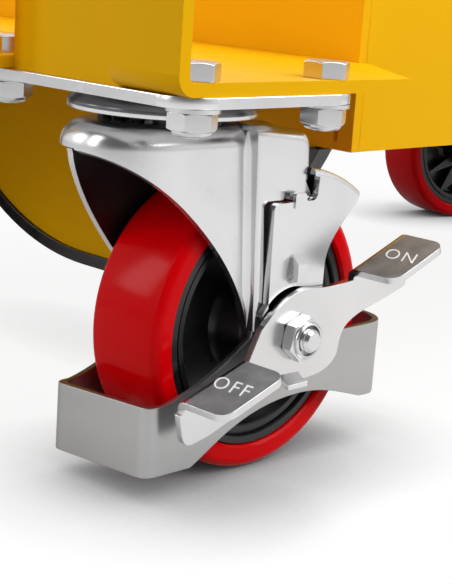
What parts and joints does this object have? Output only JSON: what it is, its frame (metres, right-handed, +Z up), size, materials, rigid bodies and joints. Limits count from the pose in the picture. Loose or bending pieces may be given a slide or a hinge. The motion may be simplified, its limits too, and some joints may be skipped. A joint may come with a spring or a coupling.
{
  "type": "wheel dolly",
  "caption": "Steel tyre cradle on four swivel casters, the front ones with pedal brakes and toe guards, for moving a vehicle by its wheels.",
  "frame": {"origin": "middle of the flat strip in the cradle's floor, where the tyre rests", "axes": "+X along the cradle, across the vehicle's tyre; +Z up; the braked casters are on the -Y side"},
  "size_m": [0.645, 0.376, 0.1689],
  "materials": {
    "yellow_paint": "glossy powder coat",
    "zinc_plate": "satin zinc plating",
    "bright_zinc": "bright zinc plating",
    "red_polyurethane": "glossy polyurethane",
    "black_plastic": "satin",
    "black_rubber": "glossy"
  },
  "bodies": {
    "frame": {"cradle_sheet": "yellow_paint", "end_plate_left": "yellow_paint", "end_plate_right": "yellow_paint", "side_wall_front": "yellow_paint", "side_wall_rear": "yellow_paint", "end_beam_left": "yellow_paint", "end_beam_right": "yellow_paint", "edge_trim_left": "black_rubber", "edge_trim_right": "black_rubber", "mounting_bolts": "bright_zinc", "mounting_washers": "bright_zinc", "mounting_nuts": "bright_zinc", "corner_bracket_front_left": "yellow_paint", "top_plate_front_left": "zinc_plate", "kingpin_front_left": "bright_zinc", "corner_bracket_front_right": "yellow_paint", "top_plate_front_right": "zinc_plate", "kingpin_front_right": "bright_zinc", "corner_bracket_rear_left": "yellow_paint", "top_plate_rear_left": "zinc_plate", "kingpin_rear_left": "bright_zinc", "corner_bracket_rear_right": "yellow_paint", "top_plate_rear_right": "zinc_plate", "kingpin_rear_right": "bright_zinc"},
    "swivel_front_left": {"fork_front_left": "bright_zinc", "swivel_balls_front_left": "bright_zinc", "axle_bolt_front_left": "bright_zinc", "axle_nut_front_left": "bright_zinc", "toe_guard_front_left": "zinc_plate"},
    "wheel_front_left": {"tyre_front_left": "red_polyurethane", "wheel_core_front_left": "black_plastic", "wheel_bushing_front_left": "zinc_plate"},
    "brake_carrier_front_left": {"brake_carrier_front_left": "bright_zinc"},
    "brake_lever_front_left": {"brake_lever_front_left": "bright_zinc"},
    "swivel_front_right": {"fork_front_right": "bright_zinc", "swivel_balls_front_right": "bright_zinc", "axle_bolt_front_right": "bright_zinc", "axle_nut_front_right": "bright_zinc", "toe_guard_front_right": "zinc_plate"},
    "wheel_front_right": {"tyre_front_right": "red_polyurethane", "wheel_core_front_right": "black_plastic", "wheel_bushing_front_right": "zinc_plate"},
    "brake_carrier_front_right": {"brake_carrier_front_right": "bright_zinc"},
    "brake_lever_front_right": {"brake_lever_front_right": "bright_zinc"},
    "swivel_rear_left": {"fork_rear_left": "bright_zinc", "swivel_balls_rear_left": "bright_zinc", "axle_bolt_rear_left": "bright_zinc", "axle_nut_rear_left": "bright_zinc"},
    "wheel_rear_left": {"tyre_rear_left": "red_polyurethane", "wheel_core_rear_left": "black_plastic", "wheel_bushing_rear_left": "zinc_plate"},
    "swivel_rear_right": {"fork_rear_right": "bright_zinc", "swivel_balls_rear_right": "bright_zinc", "axle_bolt_rear_right": "bright_zinc", "axle_nut_rear_right": "bright_zinc"},
    "wheel_rear_right": {"tyre_rear_right": "red_polyurethane", "wheel_core_rear_right": "black_plastic", "wheel_bushing_rear_right": "zinc_plate"}
  },
  "joints": [
    {"name": "swivel_front_left", "type": "hinge", "parent": "frame", "child": "swivel_front_left", "pos_m": [-0.25, -0.138, 0.0275], "axis": [0, 0, 1], "continuous": true},
    {"name": "wheel_front_left", "type": "hinge", "parent": "swivel_front_left", "child": "wheel_front_left", "pos_m": [-0.213, -0.138, -0.042], "axis": [0, 1, 0], "continuous": true},
    {"name": "lever_front_left", "type": "hinge", "parent": "swivel_front_left", "child": "brake_lever_front_left", "pos_m": [-0.213, -0.138, -0.042], "axis": [0, 1, 0], "range_deg": [0, 24]},
    {"name": "brake_front_left", "type": "hinge", "parent": "swivel_front_left", "child": "brake_carrier_front_left", "pos_m": [-0.218, -0.138, 0.005], "axis": [0, 1, 0], "range_deg": [0, 2]},
    {"name": "swivel_front_right", "type": "hinge", "parent": "frame", "child": "swivel_front_right", "pos_m": [0.25, -0.138, 0.0275], "axis": [0, 0, 1], "continuous": true},
    {"name": "wheel_front_right", "type": "hinge", "parent": "swivel_front_right", "child": "wheel_front_right", "pos_m": [0.287, -0.138, -0.042], "axis": [0, 1, 0], "continuous": true},
    {"name": "lever_front_right", "type": "hinge", "parent": "swivel_front_right", "child": "brake_lever_front_right", "pos_m": [0.287, -0.138, -0.042], "axis": [0, 1, 0], "range_deg": [0, 24]},
    {"name": "brake_front_right", "type": "hinge", "parent": "swivel_front_right", "child": "brake_carrier_front_right", "pos_m": [0.282, -0.138, 0.005], "axis": [0, 1, 0], "range_deg": [0, 2]},
    {"name": "swivel_rear_left", "type": "hinge", "parent": "frame", "child": "swivel_rear_left", "pos_m": [-0.25, 0.138, 0.0275], "axis": [0, 0, 1], "continuous": true},
    {"name": "wheel_rear_left", "type": "hinge", "parent": "swivel_rear_left", "child": "wheel_rear_left", "pos_m": [-0.2141, 0.14695, -0.042], "axis": [-0.2419, 0.9703, 0], "continuous": true},
    {"name": "swivel_rear_right", "type": "hinge", "parent": "frame", "child": "swivel_rear_right", "pos_m": [0.25, 0.138, 0.0275], "axis": [0, 0, 1], "continuous": true},
    {"name": "wheel_rear_right", "type": "hinge", "parent": "swivel_rear_right", "child": "wheel_rear_right", "pos_m": [0.28619, 0.13031, -0.042], "axis": [0.2079, 0.9781, 0], "continuous": true}
  ],
  "couplings": [
    {"joint": "brake_front_left", "follows": "lever_front_left", "ratio": 0.08},
    {"joint": "brake_front_right", "follows": "lever_front_right", "ratio": 0.08}
  ]
}
